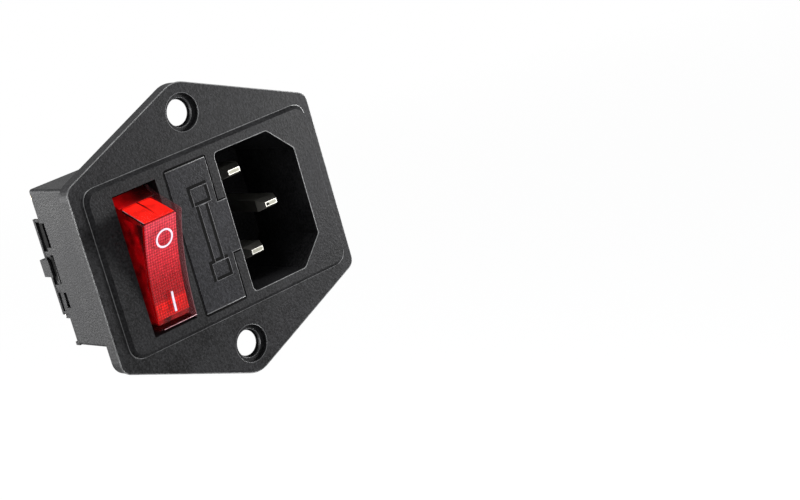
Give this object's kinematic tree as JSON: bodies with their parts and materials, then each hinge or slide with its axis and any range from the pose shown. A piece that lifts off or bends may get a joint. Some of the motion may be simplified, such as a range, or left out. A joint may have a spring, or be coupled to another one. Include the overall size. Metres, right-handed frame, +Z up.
{
  "type": "c14 panel inlet socket",
  "caption": "Panel power inlet with a recessed three-pin male connector, a pull-out fuse drawer and a lit rocker switch in a screw-on flange, with solder lugs behind.",
  "frame": {"origin": "midway between the two fixing screw holes, on the face of the flange that seats on the panel", "axes": "+X towards the inlet pins, +Y into the panel towards the rear lugs, +Z up along the two screw holes"},
  "size_m": [0.0492, 0.0357, 0.0496],
  "materials": {
    "black_moulding": "fine moulded grain, satin black",
    "cover_moulding": "fine moulded grain, satin black",
    "drawer_moulding": "satin black",
    "red_lens": "translucent red, smooth",
    "red_diffuser": "translucent red with a dotted back",
    "plunger_plastic": "natural nylon",
    "spring_steel": "bright drawn wire",
    "copper_alloy": "stamped copper alloy",
    "contact_silver": "silver contact",
    "terminal_brass": "stamped brass",
    "tinned_brass": "tinned sheet brass",
    "nickel_pin": "bright nickel plate",
    "lamp_glass": "clear glass",
    "resistor_coat": "lacquered",
    "lead_wire": "tinned copper wire",
    "fuse_glass_tube": "clear glass",
    "fuse_cap_metal": "nickel plate",
    "fuse_element": "fine wire",
    "spring_bronze": "spring bronze"
  },
  "bodies": {
    "inlet_body": {"housing": "black_moulding", "rear_cover": "cover_moulding", "fixed_contact": "contact_silver", "output_terminal": "terminal_brass", "input_terminal": "terminal_brass", "neutral_terminal": "terminal_brass", "neon_lamp": "lamp_glass", "lamp_resistor": "resistor_coat", "lamp_lead_live": "lead_wire", "lamp_lead_mid": "lead_wire", "lamp_lead_neutral": "lead_wire", "fuse_contact_upper": "spring_bronze", "fuse_contact_lower": "spring_bronze", "line_pin": "nickel_pin", "neutral_pin": "nickel_pin", "earth_pin": "nickel_pin", "line_busbar": "tinned_brass", "link_busbar": "tinned_brass", "neutral_busbar": "tinned_brass"},
    "rocker_body": {"rocker": "red_lens", "rocker_diffuser": "red_diffuser", "plunger_spring": "spring_steel"},
    "plunger_body": {"plunger": "plunger_plastic"},
    "blade_body": {"moving_blade": "copper_alloy", "moving_contact": "contact_silver"},
    "drawer_body": {"fuse_drawer": "drawer_moulding", "fuse_glass": "fuse_glass_tube", "fuse_cap_upper": "fuse_cap_metal", "fuse_cap_lower": "fuse_cap_metal", "fuse_wire": "fuse_element"}
  },
  "joints": [
    {"name": "rocker_hinge", "type": "hinge", "parent": "inlet_body", "child": "rocker_body", "pos_m": [-0.01325, 0.00047, 0], "axis": [1, 0, 0], "range_deg": [-30, 0]},
    {"name": "plunger_slide", "type": "slide", "parent": "rocker_body", "child": "plunger_body", "axis": [0, -0.9659, -0.2588], "range_m": [0, 0.0006], "stiffness_N_per_m": 40, "springref_m": -0.002, "deforming": ["plunger_spring"]},
    {"name": "blade_hinge", "type": "hinge", "parent": "inlet_body", "child": "blade_body", "pos_m": [-0.01325, 0.0101, 0], "axis": [1, 0, 0], "range_deg": [0, 12]},
    {"name": "drawer_slide", "type": "slide", "parent": "inlet_body", "child": "drawer_body", "axis": [0, -1, 0], "range_m": [0, 0.013]}
  ],
  "couplings": [
    {"joint": "blade_hinge", "follows": "rocker_hinge", "ratio": -0.4}
  ]
}
